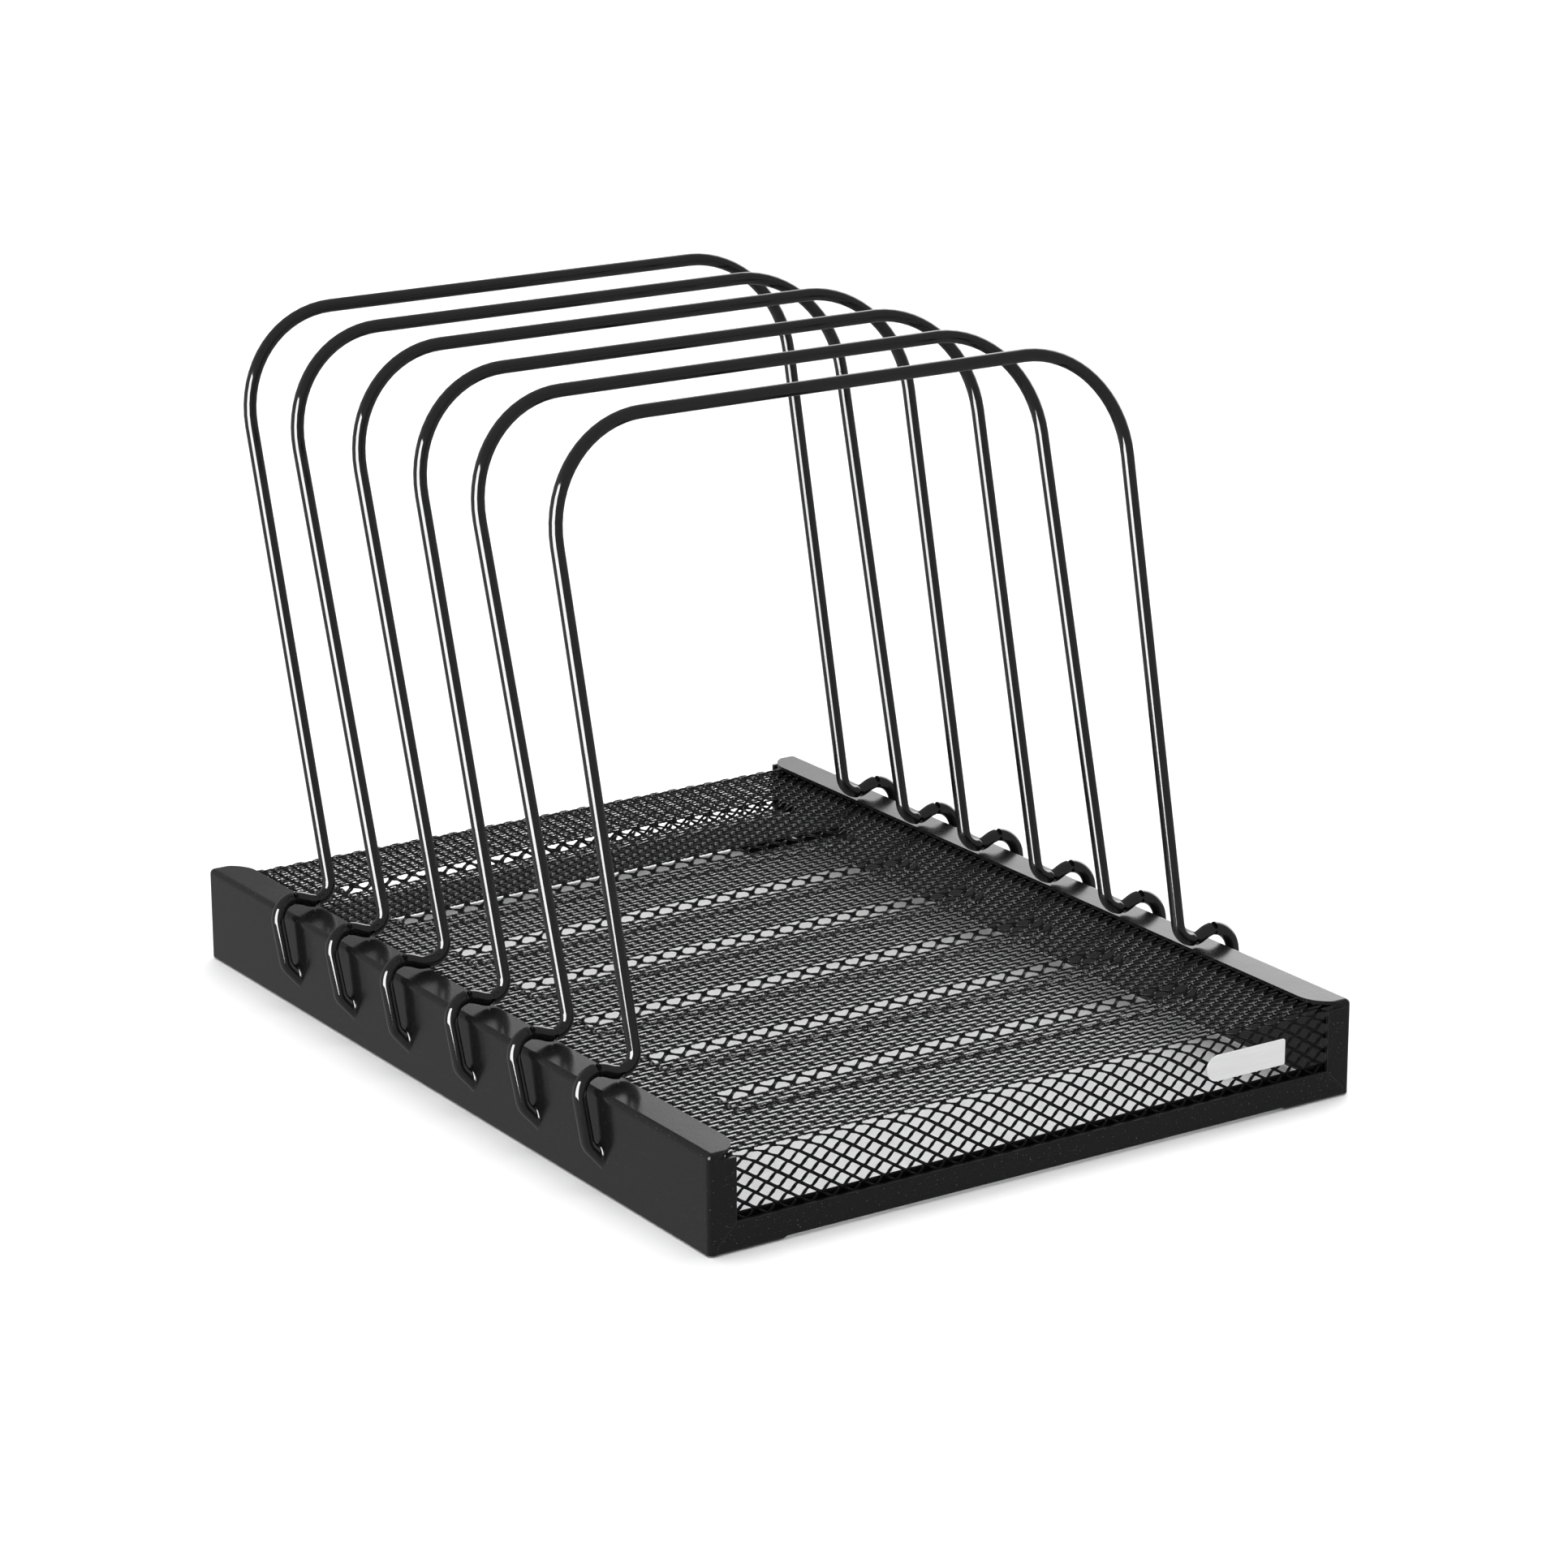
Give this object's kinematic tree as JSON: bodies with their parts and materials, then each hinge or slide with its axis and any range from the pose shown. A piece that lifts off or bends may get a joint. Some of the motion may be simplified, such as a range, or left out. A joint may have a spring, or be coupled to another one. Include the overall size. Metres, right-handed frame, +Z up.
{
  "type": "desktop file sorter",
  "caption": "Black steel desktop file sorter: leaning wire dividers on a low base with a grooved expanded-metal deck and a blank nameplate.",
  "frame": {"origin": "middle of the base, at the level that its four feet stand on", "axes": "+Z up, -Y the front with the nameplate, +X the right-hand side seen from the front, +Y along the base's length to the rear, where the dividers lean"},
  "size_m": [0.221, 0.279, 0.1982],
  "materials": {
    "base_coat": "satin black powder coat on pressed steel, with a fine orange-peel texture and specks",
    "mesh_coat": "semi-gloss black coat on expanded steel mesh",
    "wire_coat": "gloss black coat on round steel wire",
    "nameplate_metal": "smooth satin silver, blank"
  },
  "bodies": {
    "root": {"left_side_panel": "base_coat", "right_side_panel": "base_coat", "front_rail": "base_coat", "rear_rail": "base_coat", "mesh_deck": "mesh_coat", "divider_1": "wire_coat", "divider_2": "wire_coat", "divider_3": "wire_coat", "divider_4": "wire_coat", "divider_5": "wire_coat", "divider_6": "wire_coat", "nameplate": "nameplate_metal"}
  },
  "joints": []
}
